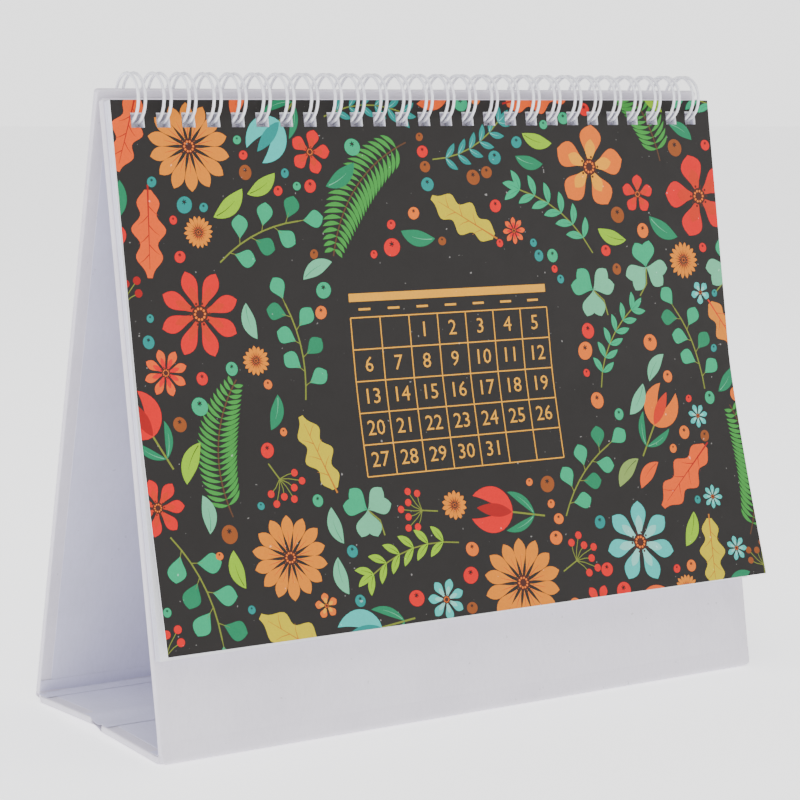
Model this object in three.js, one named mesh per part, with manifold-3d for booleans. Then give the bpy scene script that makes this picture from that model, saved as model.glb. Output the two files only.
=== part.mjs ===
// Flip desk calendar: a folded easel of paper-covered board, a twin-loop wire
// along its top edge, a printed cover leaf and twelve month leaves.
// Millimetres. X runs along the wire, the leaves face -Y, Z is up.
import * as THREE from 'three';
import { mergeVertices } from 'three/addons/utils/BufferGeometryUtils.js';
import Module from 'manifold-3d';

const PITCH = 25.4 / 3;            // one loop every third of an inch
const LOOPS = 26;
const PAGE_WIDTH = 27 * PITCH;     // nine inches
const PAGE_HEIGHT = 165.1;         // six and a half inches
const MONTH_LEAVES = 12;
const LEAF_THICK = 0.22;
const LEAF_STEP = 0.27;            // leaf to leaf, with the air between them
const FIRST_GAP = 0.1;             // front board to the last leaf
const COVER_THICK = 0.3;

const EASEL_WIDTH = 230.2;         // boards stand 0.8 proud of the pages each side
const FRONT_LENGTH = 198;
const BACK_LENGTH = 205;
const DEPTH = 91;                  // front crease to rear crease, outside
const FRONT_LEAN = THREE.MathUtils.degToRad(9.7);
const APEX_DEPTH = 38.6;           // outer top edge of the back board, from the front crease
const BACK_LEAN = Math.asin((DEPTH - APEX_DEPTH) / BACK_LENGTH);
const BOARD = 2.4;                 // covered board, all layers
const PAPER = 0.25;                // covering paper and lining
const SKIN_GAP = 0.05;             // glue line between board and paper
const TURN_IN = 4;                 // covering folded over onto the inside
const CREASE_EDGE = 3;             // board stops this far short of a crease
const BASE_END = 3.5;              // same for the two base boards
const MID_CREASE = 7;              // soft strip between the base boards

const HOLE = 4.4;                  // square punched hole
const PAGE_TOP = FRONT_LENGTH - 1.1;
const HOLE_LINE = PAGE_TOP - 6.05; // along the front board from its crease
const RING_Y = 33.1;
const RING_Z = 195;
const RING_R = 7.675;
const WIRE = 0.98;
const PAIR = 2.4;                  // centre to centre of the two wires in a loop
const SEAM_ANGLE = 292;            // linking bars, inside the easel
const TIP_ANGLE = -56;             // closed loop tips, inside the easel

const ORIGIN_Y = -DEPTH / 2;

const wasm = await Module();
wasm.setup();

const part = new THREE.Group();
part.name = 'flip_desk_calendar';

const finish = (color, roughness, metalness = 0) =>
  new THREE.MeshStandardMaterial({ color, roughness, metalness });
const white = finish(0xe9e7ea, 0.7);
const lining = finish(0xdedbe4, 0.75);
const greyboard = finish(0xa39c92, 0.95);
const pagePaper = finish(0xf4f2f0, 0.8);
const coverCard = finish(0x383532, 0.55);
const coatedWire = finish(0xf1f1f3, 0.35, 0.1);

function toManifold(geometry) {
  const bare = geometry.clone();
  bare.deleteAttribute('normal');
  bare.deleteAttribute('uv');
  const merged = mergeVertices(bare, 1e-4);
  return new wasm.Manifold(new wasm.Mesh({
    numProp: 3,
    vertProperties: new Float32Array(merged.attributes.position.array),
    triVerts: new Uint32Array(merged.index.array),
  }));
}

function toGeometry(solid) {
  const mesh = solid.getMesh();
  const geometry = new THREE.BufferGeometry();
  geometry.setAttribute('position', new THREE.BufferAttribute(mesh.vertProperties, 3));
  geometry.setIndex(new THREE.BufferAttribute(mesh.triVerts, 1));
  return geometry;
}

// A block given by its low and high corners.
function block(low, high) {
  const size = high.map((v, i) => v - low[i]);
  const geometry = new THREE.BoxGeometry(...size);
  geometry.translate(...low.map((v, i) => v + size[i] / 2));
  return geometry;
}

function add(name, geometry, material, place) {
  const bare = geometry.clone();
  bare.deleteAttribute('normal');
  bare.deleteAttribute('uv');
  const merged = mergeVertices(bare, 1e-4);
  if (place) {
    merged.applyMatrix4(place);
  }
  merged.translate(0, ORIGIN_Y, 0);
  merged.computeVertexNormals();
  const mesh = new THREE.Mesh(merged, material);
  mesh.name = name;
  part.add(mesh);
}

// Where a board's own frame lies: x across, y up from its crease, z out of its outer face.
function frameAt(x, y, z, corner) {
  const place = new THREE.Matrix4().makeBasis(x, y, z);
  place.setPosition(corner);
  return place;
}
const vec = (x, y, z) => new THREE.Vector3(x, y, z);
const frontFrame = frameAt(
  vec(1, 0, 0),
  vec(0, Math.sin(FRONT_LEAN), Math.cos(FRONT_LEAN)),
  vec(0, -Math.cos(FRONT_LEAN), Math.sin(FRONT_LEAN)),
  vec(0, 0, 0),
);
const backFrame = frameAt(
  vec(-1, 0, 0),
  vec(0, -Math.sin(BACK_LEAN), Math.cos(BACK_LEAN)),
  vec(0, Math.cos(BACK_LEAN), Math.sin(BACK_LEAN)),
  vec(0, DEPTH, 0),
);
// The base boards lie outer face down: their own y runs back from the front crease.
const baseFrame = frameAt(vec(-1, 0, 0), vec(0, 1, 0), vec(0, 0, -1), vec(0, 0, 0));

const holeCentres = Array.from({ length: LOOPS }, (_, i) => (i - (LOOPS - 1) / 2) * PITCH);

function punch(solid, line) {
  const tools = holeCentres.map((x) => toManifold(block(
    [x - HOLE / 2, line - HOLE / 2, -BOARD - 1],
    [x + HOLE / 2, line + HOLE / 2, 1],
  )));
  return solid.subtract(wasm.Manifold.union(tools));
}

// Greyboard core, paper covering with its edges turned in, and lining paper.
function coveredBoard(name, low, high, place, holeLine) {
  const half = EASEL_WIDTH / 2;
  const skin = PAPER + SKIN_GAP;
  const outer = toManifold(block([-half, low, -BOARD], [half, high, 0]));
  const room = toManifold(block(
    [-half + PAPER, low + PAPER, -BOARD + PAPER],
    [half - PAPER, high - PAPER, -PAPER],
  ));
  const window = toManifold(block(
    [-half + TURN_IN, low + TURN_IN, -BOARD - 1],
    [half - TURN_IN, high - TURN_IN, -BOARD + 1],
  ));
  let wrap = outer.subtract(room).subtract(window);
  let core = toManifold(block(
    [-half + skin, low + skin, -BOARD + skin],
    [half - skin, high - skin, -skin],
  ));
  const rim = TURN_IN + 0.1;
  let sheet = toManifold(block(
    [-half + rim, low + rim, -BOARD],
    [half - rim, high - rim, -BOARD + PAPER],
  ));
  if (holeLine) {
    wrap = punch(wrap, holeLine);
    core = punch(core, holeLine);
    sheet = punch(sheet, holeLine);
  }
  add(`${name}_core`, toGeometry(core), greyboard, place);
  add(`${name}_wrap`, toGeometry(wrap), white, place);
  add(`${name}_lining`, toGeometry(sheet), lining, place);
}

// The back board is punched where the wire's circle crosses its middle.
const backMiddle = vec(0, RING_Y - DEPTH, RING_Z);
const backUp = vec(0, -Math.sin(BACK_LEAN), Math.cos(BACK_LEAN));
const backOut = vec(0, Math.cos(BACK_LEAN), Math.sin(BACK_LEAN));
const ringOut = -BOARD / 2 - backMiddle.dot(backOut);
const backHoleLine = backMiddle.dot(backUp) - Math.sqrt(RING_R ** 2 - ringOut ** 2);

const mid = DEPTH / 2;
coveredBoard('front', CREASE_EDGE, FRONT_LENGTH, frontFrame, HOLE_LINE);
coveredBoard('back', CREASE_EDGE, BACK_LENGTH, backFrame, backHoleLine);
coveredBoard('base_front', BASE_END, mid - MID_CREASE / 2, baseFrame);
coveredBoard('base_rear', mid + MID_CREASE / 2, DEPTH - BASE_END, baseFrame);

// Soft paper strips at the three creases, each a bent ribbon run along X.
function ribbon(name, points) {
  const path = points.map((p) => new THREE.Vector2(p[0], p[1]));
  const sides = path.map((p, i) => {
    const before = path[Math.max(i - 1, 0)];
    const after = path[Math.min(i + 1, path.length - 1)];
    const along = after.clone().sub(before).normalize();
    return p.clone().add(new THREE.Vector2(-along.y, along.x).multiplyScalar(PAPER));
  });
  const shape = new THREE.Shape([...path, ...sides.reverse()]);
  const geometry = new THREE.ExtrudeGeometry(shape, {
    depth: EASEL_WIDTH - 0.4,
    bevelEnabled: false,
  });
  geometry.translate(0, 0, -(EASEL_WIDTH - 0.4) / 2);
  const place = new THREE.Matrix4().makeBasis(vec(0, 1, 0), vec(0, 0, 1), vec(1, 0, 0));
  add(name, geometry, white, place);
}

const CREASE_LIFT = 0.1;           // the strips stay just clear of the table
const CREASE_ROUND = 1.6;
function corner(y, lean, towards) {
  const up = Math.PI / 2 - lean;
  const tangent = CREASE_ROUND * Math.tan((Math.PI - up) / 2);
  const points = [];
  for (let i = 0; i <= 6; i += 1) {
    const turn = (Math.PI - up) * (i / 6);
    points.push([
      y + towards * (tangent - CREASE_ROUND * Math.sin(turn)),
      CREASE_LIFT + CREASE_ROUND * (1 - Math.cos(turn)),
    ]);
  }
  return points;
}
const stripEnd = CREASE_EDGE - 0.15;
const frontCorner = corner(0.05, FRONT_LEAN, 1);
ribbon('crease_front', [
  [stripEnd * Math.sin(FRONT_LEAN) + 0.05, stripEnd * Math.cos(FRONT_LEAN)],
  ...frontCorner.slice(1).reverse(),
  [BASE_END - 0.15, CREASE_LIFT],
]);
const rearCorner = corner(DEPTH - 0.05, BACK_LEAN, -1);
ribbon('crease_rear', [
  [DEPTH - BASE_END + 0.15, CREASE_LIFT],
  ...rearCorner.slice(1),
  [DEPTH - stripEnd * Math.sin(BACK_LEAN) - 0.05, stripEnd * Math.cos(BACK_LEAN)],
]);
ribbon('crease_mid', [
  [mid - MID_CREASE / 2 + 0.1, CREASE_LIFT],
  [mid, CREASE_LIFT],
  [mid + MID_CREASE / 2 - 0.1, CREASE_LIFT],
]);

// Leaves: flat sheets with one square hole per loop.
function leafGeometry(thick) {
  const sheet = toManifold(block(
    [-PAGE_WIDTH / 2, PAGE_TOP - PAGE_HEIGHT, 0],
    [PAGE_WIDTH / 2, PAGE_TOP, thick],
  ));
  return toGeometry(punch(sheet, HOLE_LINE));
}

for (let n = MONTH_LEAVES; n >= 1; n -= 1) {
  const geometry = leafGeometry(LEAF_THICK);
  geometry.translate(0, 0, FIRST_GAP + (MONTH_LEAVES - n) * LEAF_STEP);
  add(`leaf_${String(n).padStart(2, '0')}`, geometry, pagePaper, frontFrame);
}
const coverGeometry = leafGeometry(COVER_THICK);
coverGeometry.translate(0, 0, FIRST_GAP + MONTH_LEAVES * LEAF_STEP);
add('cover', coverGeometry, coverCard, frontFrame);

// Twin-loop wire: up one side of each loop, across its tip, back down the
// other side, then along a linking bar to the next loop.
function wirePoints() {
  const steps = 12;
  const points = [];
  const at = (x, degrees) => {
    const angle = THREE.MathUtils.degToRad(degrees);
    return vec(x, RING_Y + RING_R * Math.cos(angle), RING_Z + RING_R * Math.sin(angle));
  };
  for (const x of holeCentres) {
    for (let i = 0; i <= steps; i += 1) {
      points.push(at(x - PAIR / 2, SEAM_ANGLE + (TIP_ANGLE - SEAM_ANGLE) * (i / steps)));
    }
    for (let i = steps; i >= 0; i -= 1) {
      points.push(at(x + PAIR / 2, SEAM_ANGLE + (TIP_ANGLE - SEAM_ANGLE) * (i / steps)));
    }
  }
  return points;
}

// A closed tube of square section whose corners keep to the ring's own axes.
function tube(points, radius) {
  const centre = vec(0, RING_Y, RING_Z);
  const position = [];
  const index = [];
  points.forEach((p, i) => {
    const before = points[Math.max(i - 1, 0)];
    const after = points[Math.min(i + 1, points.length - 1)];
    const into = p.clone().sub(before).normalize();
    const onto = after.clone().sub(p).normalize();
    const along = into.clone().add(onto).normalize();
    const spoke = p.clone().sub(centre);
    spoke.x = 0;
    spoke.normalize();
    const side = along.clone().cross(spoke).normalize();
    const bend = Math.max(Math.abs(along.dot(into.lengthSq() > 0 ? into : onto)), 0.5);
    for (let k = 0; k < 4; k += 1) {
      const angle = Math.PI / 4 + (k * Math.PI) / 2;
      const q = p.clone()
        .addScaledVector(spoke, radius * Math.SQRT1_2 * 1.3 * Math.cos(angle))
        .addScaledVector(side, (radius * Math.SQRT1_2 * 1.3 * Math.sin(angle)) / bend);
      position.push(q.x, q.y, q.z);
    }
  });
  for (let i = 0; i + 1 < points.length; i += 1) {
    for (let k = 0; k < 4; k += 1) {
      const a = i * 4 + k;
      const b = i * 4 + ((k + 1) % 4);
      index.push(a, b, a + 4, b, b + 4, a + 4);
    }
  }
  const last = (points.length - 1) * 4;
  index.push(0, 2, 1, 0, 3, 2);
  index.push(last, last + 1, last + 2, last, last + 2, last + 3);
  const geometry = new THREE.BufferGeometry();
  geometry.setAttribute('position', new THREE.Float32BufferAttribute(position, 3));
  geometry.setIndex(index);
  return geometry;
}

function outward(geometry) {
  const position = geometry.attributes.position;
  const index = geometry.index.array;
  const [a, b, c] = [vec(0, 0, 0), vec(0, 0, 0), vec(0, 0, 0)];
  let volume = 0;
  for (let i = 0; i < index.length; i += 3) {
    a.fromBufferAttribute(position, index[i]);
    b.fromBufferAttribute(position, index[i + 1]);
    c.fromBufferAttribute(position, index[i + 2]);
    volume += a.dot(b.clone().cross(c));
  }
  if (volume < 0) {
    for (let i = 0; i < index.length; i += 3) {
      [index[i + 1], index[i + 2]] = [index[i + 2], index[i + 1]];
    }
  }
  return geometry;
}
add('binding_wire', outward(tube(wirePoints(), WIRE / 2)), coatedWire);

export default part;
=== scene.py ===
"""Flip desk calendar: paper-covered easel, twin-loop wire, printed cover and month leaves."""
import math
import random

import bpy
import bmesh
import numpy as np
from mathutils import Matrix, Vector
from mathutils.geometry import delaunay_2d_cdt, tessellate_polygon


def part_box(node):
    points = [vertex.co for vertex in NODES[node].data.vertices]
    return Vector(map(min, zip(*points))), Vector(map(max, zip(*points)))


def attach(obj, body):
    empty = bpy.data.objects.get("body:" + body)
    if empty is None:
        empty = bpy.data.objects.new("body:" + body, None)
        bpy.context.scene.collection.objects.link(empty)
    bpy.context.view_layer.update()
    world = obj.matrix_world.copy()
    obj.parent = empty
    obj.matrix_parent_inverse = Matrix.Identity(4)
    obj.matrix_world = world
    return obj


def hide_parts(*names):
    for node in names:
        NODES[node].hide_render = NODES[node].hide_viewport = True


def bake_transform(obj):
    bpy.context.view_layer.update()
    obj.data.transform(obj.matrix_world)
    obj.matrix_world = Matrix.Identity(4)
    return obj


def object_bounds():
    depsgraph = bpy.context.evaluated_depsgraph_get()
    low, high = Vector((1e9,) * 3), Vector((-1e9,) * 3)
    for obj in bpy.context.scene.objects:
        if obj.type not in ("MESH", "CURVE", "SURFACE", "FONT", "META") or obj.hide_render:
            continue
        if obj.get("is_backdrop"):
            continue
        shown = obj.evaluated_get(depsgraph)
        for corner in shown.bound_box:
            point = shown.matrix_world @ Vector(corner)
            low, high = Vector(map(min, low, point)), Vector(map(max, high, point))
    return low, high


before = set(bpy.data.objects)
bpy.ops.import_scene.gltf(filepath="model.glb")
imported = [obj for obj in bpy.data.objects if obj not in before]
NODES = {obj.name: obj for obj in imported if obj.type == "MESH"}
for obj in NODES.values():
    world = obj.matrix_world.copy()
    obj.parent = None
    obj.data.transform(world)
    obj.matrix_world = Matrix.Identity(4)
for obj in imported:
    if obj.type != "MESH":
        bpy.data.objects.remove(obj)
CAD_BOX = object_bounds()
MM = 0.001
LEAVES = sorted(n for n in NODES if n.startswith("leaf_"))


# ---------------------------------------------------------------- materials

def shader(name, color, rough, metallic=0.0, coat=0.0, shine=0.5):
    m = bpy.data.materials.new(name)
    m.use_nodes = True
    b = m.node_tree.nodes["Principled BSDF"]
    b.inputs["Base Color"].default_value = (*color, 1)
    b.inputs["Roughness"].default_value = rough
    b.inputs["Metallic"].default_value = metallic
    b.inputs["Coat Weight"].default_value = coat
    b.inputs["Specular IOR Level"].default_value = shine
    return m, m.node_tree, b


def noise(tree, scale, detail=4.0, stretch=(1, 1, 1), roughness=0.6):
    coord = tree.nodes.new("ShaderNodeTexCoord")
    mapping = tree.nodes.new("ShaderNodeMapping")
    mapping.inputs["Scale"].default_value = stretch
    tex = tree.nodes.new("ShaderNodeTexNoise")
    tex.inputs["Scale"].default_value = scale
    tex.inputs["Detail"].default_value = detail
    tex.inputs["Roughness"].default_value = roughness
    tree.links.new(coord.outputs["Object"], mapping.inputs["Vector"])
    tree.links.new(mapping.outputs["Vector"], tex.inputs["Vector"])
    return tex.outputs["Fac"]


def ramp(tree, source, stops):
    node = tree.nodes.new("ShaderNodeValToRGB")
    node.color_ramp.elements[0].position = stops[0][0]
    node.color_ramp.elements[0].color = (*stops[0][1], 1)
    node.color_ramp.elements[1].position = stops[-1][0]
    node.color_ramp.elements[1].color = (*stops[-1][1], 1)
    for at, color in stops[1:-1]:
        node.color_ramp.elements.new(at).color = (*color, 1)
    tree.links.new(source, node.inputs["Fac"])
    return node.outputs["Color"]


def mix(tree, kind, a, b, amount):
    node = tree.nodes.new("ShaderNodeMix")
    node.data_type = "RGBA"
    node.blend_type = kind
    for socket, value in (("A", a), ("B", b), ("Factor", amount)):
        target = [s for s in node.inputs if s.name == socket and s.enabled][0]
        if isinstance(value, bpy.types.NodeSocket):
            tree.links.new(value, target)
        elif socket == "Factor":
            target.default_value = value
        else:
            target.default_value = (*value, 1)
    return [s for s in node.outputs if s.enabled][0]


def spread(tree, source, low, high, from_low=0.3, from_high=0.7):
    node = tree.nodes.new("ShaderNodeMapRange")
    node.inputs["From Min"].default_value = from_low
    node.inputs["From Max"].default_value = from_high
    node.inputs["To Min"].default_value = low
    node.inputs["To Max"].default_value = high
    tree.links.new(source, node.inputs["Value"])
    return node.outputs["Result"]


def bump(tree, b, height, strength, distance):
    node = tree.nodes.new("ShaderNodeBump")
    node.inputs["Strength"].default_value = strength
    node.inputs["Distance"].default_value = distance
    tree.links.new(height, node.inputs["Height"])
    tree.links.new(node.outputs["Normal"], b.inputs["Normal"])


def paper(name, color, rough, tint=0.04, specks=0.0, grain=0.25, coat=0.0):
    """Smooth printed or covering paper: cloudy tone, fine fibre, now and then a speck."""
    m, tree, b = shader(name, color, rough, coat=coat)
    dark = tuple(c * (1 - tint * 2) for c in color)
    light = tuple(min(1.0, c * (1 + tint)) for c in color)
    cloudy = ramp(tree, noise(tree, 38, 5), [(0.3, dark), (0.5, color), (0.72, light)])
    fibre = noise(tree, 900, 3, (1, 0.35, 0.35))
    tone = mix(tree, "MULTIPLY", cloudy, ramp(tree, fibre, [(0.25, (0.93,) * 3), (0.6, (1,) * 3)]), 0.7)
    if specks:
        dots = ramp(tree, noise(tree, 520, 1), [(0.2, (0.35, 0.33, 0.32)), (0.245, (1, 1, 1))])
        tone = mix(tree, "MULTIPLY", tone, dots, specks)
    tree.links.new(tone, b.inputs["Base Color"])
    tree.links.new(spread(tree, noise(tree, 70, 3), rough - 0.08, rough + 0.1), b.inputs["Roughness"])
    bump(tree, b, fibre, grain, 0.00004)
    return m


WRAP = paper("wrap_paper", (0.70, 0.665, 0.735), 0.5, 0.03, specks=0.35, coat=0.05)
# The lining's darker lavender tint is partly its own colour and partly painted shade: the bluish cast of the
# easel's shaded inside.
LINING = paper("lining_paper", (0.66, 0.65, 0.79), 0.62, 0.03, specks=0.2)
# The page paper's lavender tint is painted shade: it darkens the month leaves' backs and cut edges, which
# face away from the light.
PAGE = paper("page_paper", (0.79, 0.78, 0.93), 0.7, 0.02)
BACKING = paper("cover_reverse", (0.86, 0.86, 0.87), 0.65, 0.02)


def board_material():
    m, tree, b = shader("greyboard", (0.36, 0.33, 0.29), 0.95)
    fibre = noise(tree, 420, 8, (1, 1, 1), 0.75)
    layers = noise(tree, 300, 2, (0.05, 1, 6))
    tone = ramp(tree, fibre, [(0.25, (0.17, 0.15, 0.13)), (0.5, (0.36, 0.33, 0.29)),
                              (0.75, (0.5, 0.47, 0.43))])
    tone = mix(tree, "MULTIPLY", tone, ramp(tree, layers, [(0.35, (0.8,) * 3), (0.6, (1,) * 3)]), 0.6)
    tree.links.new(tone, b.inputs["Base Color"])
    bump(tree, b, fibre, 0.6, 0.0002)
    return m


def wire_material():
    m, tree, b = shader("coated_wire", (0.84, 0.84, 0.88), 0.3, coat=0.3)
    marks = noise(tree, 260, 4)
    tone = ramp(tree, marks, [(0.28, (0.70, 0.70, 0.76)), (0.5, (0.83, 0.83, 0.88)),
                              (0.7, (0.9, 0.9, 0.93))])
    tree.links.new(tone, b.inputs["Base Color"])
    tree.links.new(spread(tree, noise(tree, 500, 3), 0.22, 0.42), b.inputs["Roughness"])
    bump(tree, b, noise(tree, 1400, 2), 0.15, 0.00003)
    return m


def ink_material(name, rough, coat):
    """Printed sheet: the ink colours are stored on the faces."""
    m, tree, b = shader(name, (0.05, 0.045, 0.042), rough, coat=coat, shine=0.22)
    ink = tree.nodes.new("ShaderNodeAttribute")
    ink.attribute_name = "ink"
    fine = noise(tree, 1500, 3)
    cloudy = noise(tree, 60, 4)
    grain = ramp(tree, fine, [(0.3, (0.84,) * 3), (0.7, (1,) * 3)])
    tone = mix(tree, "MULTIPLY", ink.outputs["Color"], grain, 0.6)
    tone = mix(tree, "MULTIPLY", tone, ramp(tree, cloudy, [(0.3, (0.88,) * 3), (0.7, (1,) * 3)]), 0.5)
    dust = ramp(tree, noise(tree, 640, 1), [(0.765, (0, 0, 0)), (0.79, (0.35, 0.34, 0.33))])
    tone = mix(tree, "ADD", tone, dust, 0.5)
    tree.links.new(tone, b.inputs["Base Color"])
    tree.links.new(spread(tree, noise(tree, 110, 4), rough - 0.07, rough + 0.1), b.inputs["Roughness"])
    bump(tree, b, fine, 0.12, 0.00003)
    return m


BOARD = board_material()
WIRE = wire_material()
INK = ink_material("cover_ink", 0.5, 0.0)
PRINT = ink_material("page_ink", 0.65, 0.0)


# ---------------------------------------------------------------- frames taken from the CAD

class Plane:
    """A CAD sheet's own axes: x across, s up along it, t out of its outer face, all in metres."""

    def __init__(self, node, facing):
        mesh = NODES[node].data
        face = max(mesh.polygons, key=lambda p: p.area)
        self.out = face.normal.copy()
        if self.out.dot(Vector(facing)) < 0:
            self.out.negate()
        self.out.x = 0
        self.out.normalize()
        self.up = self.out.cross(Vector((1, 0, 0)))
        if abs(self.up.z) > 0.1 and self.up.z < 0 or abs(self.up.z) <= 0.1 and self.up.y < 0:
            self.up.negate()
        points = [v.co for v in mesh.vertices]
        self.x = max(p.x for p in points)
        self.s = [f(p.dot(self.up) for p in points) for f in (min, max)]
        self.t = [f(p.dot(self.out) for p in points) for f in (min, max)]
        self.place = self.at

    def at(self, x, s, t):
        return Vector((x, 0, 0)) + self.up * s + self.out * t


def hole_grid(node, plane):
    """The punched holes of a CAD sheet: their x ranges, and their one s range."""
    points = [v.co for v in NODES[node].data.vertices]
    inner = [p for p in points if abs(p.x) < plane.x - 0.002 and
             plane.s[1] - 0.012 < p.dot(plane.up) < plane.s[1] - 0.002]
    xs = sorted({round(p.x, 5) for p in inner})
    merged = [xs[0]]
    for x in xs[1:]:
        if x - merged[-1] > 0.0005:
            merged.append(x)
    ss = [p.dot(plane.up) for p in inner]
    return [(merged[i], merged[i + 1]) for i in range(0, len(merged) - 1, 2)], (min(ss), max(ss))


FRONT = Plane("front_wrap", (0, -1, 0))
BACK = Plane("back_wrap", (0, 1, 0))
BASE_F = Plane("base_front_wrap", (0, 0, -1))
BASE_R = Plane("base_rear_wrap", (0, 0, -1))
COVER = Plane("cover", (0, -1, 0))


# ---------------------------------------------------------------- mesh helpers

def new_object(name, verts, faces, materials, face_slots=None, inks=None, sharp=30):
    mesh = bpy.data.meshes.new(name)
    mesh.from_pydata([tuple(v) for v in verts], [], faces)
    for m in materials:
        mesh.materials.append(m)
    if face_slots is not None:
        mesh.polygons.foreach_set("material_index", face_slots)
    if inks is not None:
        layer = mesh.attributes.new("ink", "FLOAT_COLOR", "CORNER")
        data = []
        for polygon, ink in zip(mesh.polygons, inks):
            data.extend((*ink, 1.0) * polygon.loop_total)
        layer.data.foreach_set("color", data)
    mesh.validate()
    mesh.shade_smooth()
    mesh.set_sharp_from_angle(angle=math.radians(sharp))
    obj = bpy.data.objects.new(name, mesh)
    bpy.context.scene.collection.objects.link(obj)
    return obj


def face_outward(obj, sharp=None, weld=None):
    """Turns a closed mesh's faces outward, joining points closer than weld before that."""
    bm = bmesh.new()
    bm.from_mesh(obj.data)
    if weld:
        bmesh.ops.remove_doubles(bm, verts=bm.verts, dist=weld)
    bmesh.ops.recalc_face_normals(bm, faces=bm.faces)
    bm.to_mesh(obj.data)
    bm.free()
    if sharp:
        obj.data.set_sharp_from_angle(angle=math.radians(sharp))


def area2(points):
    return sum(a[0] * b[1] - b[0] * a[1] for a, b in zip(points, points[1:] + points[:1])) / 2


def ccw(points):
    points = [tuple(p) for p in points]
    return points if area2(points) > 0 else points[::-1]


def flat_mesh(outline, holes, layers=(), rows=(), columns=()):
    """Triangles of a flat sheet. layers are (points, ink) in painting order, and rows and
    columns are lines that the sheet may bend along. Returns points, triangles and inks."""
    points, edges, faces = [], [], []
    for ring in [outline, *holes, *[p for p, _ in layers]]:
        ring = ccw(ring)
        faces.append(list(range(len(points), len(points) + len(ring))))
        points.extend(ring)
    xs, ys = [p[0] for p in outline], [p[1] for p in outline]
    for y in rows:
        edges.append((len(points), len(points) + 1))
        points.extend([(min(xs), y), (max(xs), y)])
    for x in columns:
        edges.append((len(points), len(points) + 1))
        points.extend([(x, min(ys)), (x, max(ys))])
    out = delaunay_2d_cdt([Vector(p) for p in points], edges, faces, 0, 1e-7, True)
    verts, tris, owners = out[0], out[2], out[5]
    kept, inks = [], []
    for tri, inside in zip(tris, owners):
        if 0 not in inside or any(1 <= k <= len(holes) for k in inside):
            continue
        kept.append(tuple(tri))
        top = max(inside)
        inks.append(layers[top - 1 - len(holes)][1] if top > len(holes) else None)
    used = sorted({i for tri in kept for i in tri})
    place = {old: new for new, old in enumerate(used)}
    return [(verts[i].x, verts[i].y) for i in used], [tuple(place[i] for i in t) for t in kept], inks


def borders(tris):
    """The edges with one triangle only, in that triangle's direction."""
    seen = {}
    for tri in tris:
        for a, b in zip(tri, tri[1:] + tri[:1]):
            seen[(a, b)] = seen.get((a, b), 0) + 1
    return [e for e in seen if (e[1], e[0]) not in seen]


def sheet_solid(points, tris, place, thick):
    """A closed sheet. place(x, y, t) puts a flat point in space, t along the sheet's normal."""
    n = len(points)
    verts = [place(x, y, thick) for x, y in points] + [place(x, y, 0) for x, y in points]
    front = list(tris)
    back = [tuple(n + i for i in reversed(t)) for t in tris]
    walls = [(b, a, n + a, n + b) for a, b in borders(tris)]
    return verts, front, back, walls


def rounded_outline(half, low, high, radius, inset, steps=5):
    """Points of a rectangle with rounded corners, drawn in by inset, and their outward directions."""
    points = []
    r = radius - inset
    for cx, cy, start in ((half, high, 0), (-half, high, 90), (-half, low, 180), (half, low, 270)):
        ox = cx - math.copysign(radius, cx)
        oy = cy - (radius if cy == high else -radius)
        for i in range(steps + 1):
            a = math.radians(start + 90 * i / steps)
            points.append(((ox + r * math.cos(a), oy + r * math.sin(a)), (math.cos(a), math.sin(a))))
    return points


def slab(name, plane, holes, edge=0.0005, radius=0.0011):
    """A paper-covered board with softly rounded edges and, if punched, its square holes."""
    (low, high), (inner, outer) = plane.s, plane.t
    ring = rounded_outline(plane.x, low, high, radius, edge)
    points, tris, _ = flat_mesh([p for p, _ in ring], holes)
    verts, faces, slots = [], [], []

    def put(x, s, t):
        verts.append(plane.place(x, s, t))
        return len(verts) - 1

    front = [put(x, s, outer) for x, s in points]
    back = [put(x, s, inner) for x, s in points]
    for tri in tris:
        faces.append([front[i] for i in tri])
        faces.append([back[i] for i in reversed(tri)])
        slots += [0, 0]
    on_ring = {(round(p[0], 7), round(p[1], 7)) for p, _ in ring}
    for a, b in borders(tris):
        key = [(round(points[i][0], 7), round(points[i][1], 7)) in on_ring for i in (a, b)]
        if not all(key):
            faces.append([front[b], front[a], back[a], back[b]])
            slots.append(1)
    rings = []
    for side, t0 in ((1, outer), (-1, inner)):
        rows = []
        for k in range(0, 6):
            a = math.radians(90 * k / 5)
            rows.append([(p[0] + d[0] * edge * math.sin(a), p[1] + d[1] * edge * math.sin(a),
                          t0 - side * edge * (1 - math.cos(a))) for p, d in ring])
        rings += rows if side == 1 else rows[::-1]
    index = [[put(*q) for q in row] for row in rings]
    count = len(ring)
    for r0, r1 in zip(index, index[1:]):
        for i in range(count):
            j = (i + 1) % count
            faces.append([r0[j], r0[i], r1[i], r1[j]])
            slots.append(0)
    obj = new_object(name, verts, faces, [WRAP, BOARD], slots)
    face_outward(obj, sharp=50, weld=1e-7)
    return obj


def square_holes(node, plane):
    spans, (low, high) = hole_grid(node, plane)
    return [[(a, low), (b, low), (b, high), (a, high)] for a, b in spans]


# ---------------------------------------------------------------- easel boards

FRONT_HOLES = square_holes("front_wrap", FRONT)
BACK_HOLES = square_holes("back_wrap", BACK)
FOOT_RISE, MID_RISE = 0.0009, 0.0018   # the fold across the base springs up a little


def tented(plane, pivot_y, tip_y, rise):
    """Places a base board turned up about its crease end, so its tip end stands higher."""
    angle = math.asin(rise / abs(tip_y - pivot_y)) * (1 if tip_y > pivot_y else -1)
    c, s = math.cos(angle), math.sin(angle)

    def place(x, along, t):
        p = plane.at(x, along, t)
        y, z = p.y - pivot_y, p.z
        return Vector((p.x, pivot_y + y * c - z * s, y * s + z * c))
    return place


front_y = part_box("crease_front")[0].y
rear_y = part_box("crease_rear")[1].y
BASE_F.place = tented(BASE_F, front_y + 0.003, BASE_F.s[1], FOOT_RISE)
BASE_R.place = tented(BASE_R, rear_y - 0.003, BASE_R.s[0], MID_RISE)

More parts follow.
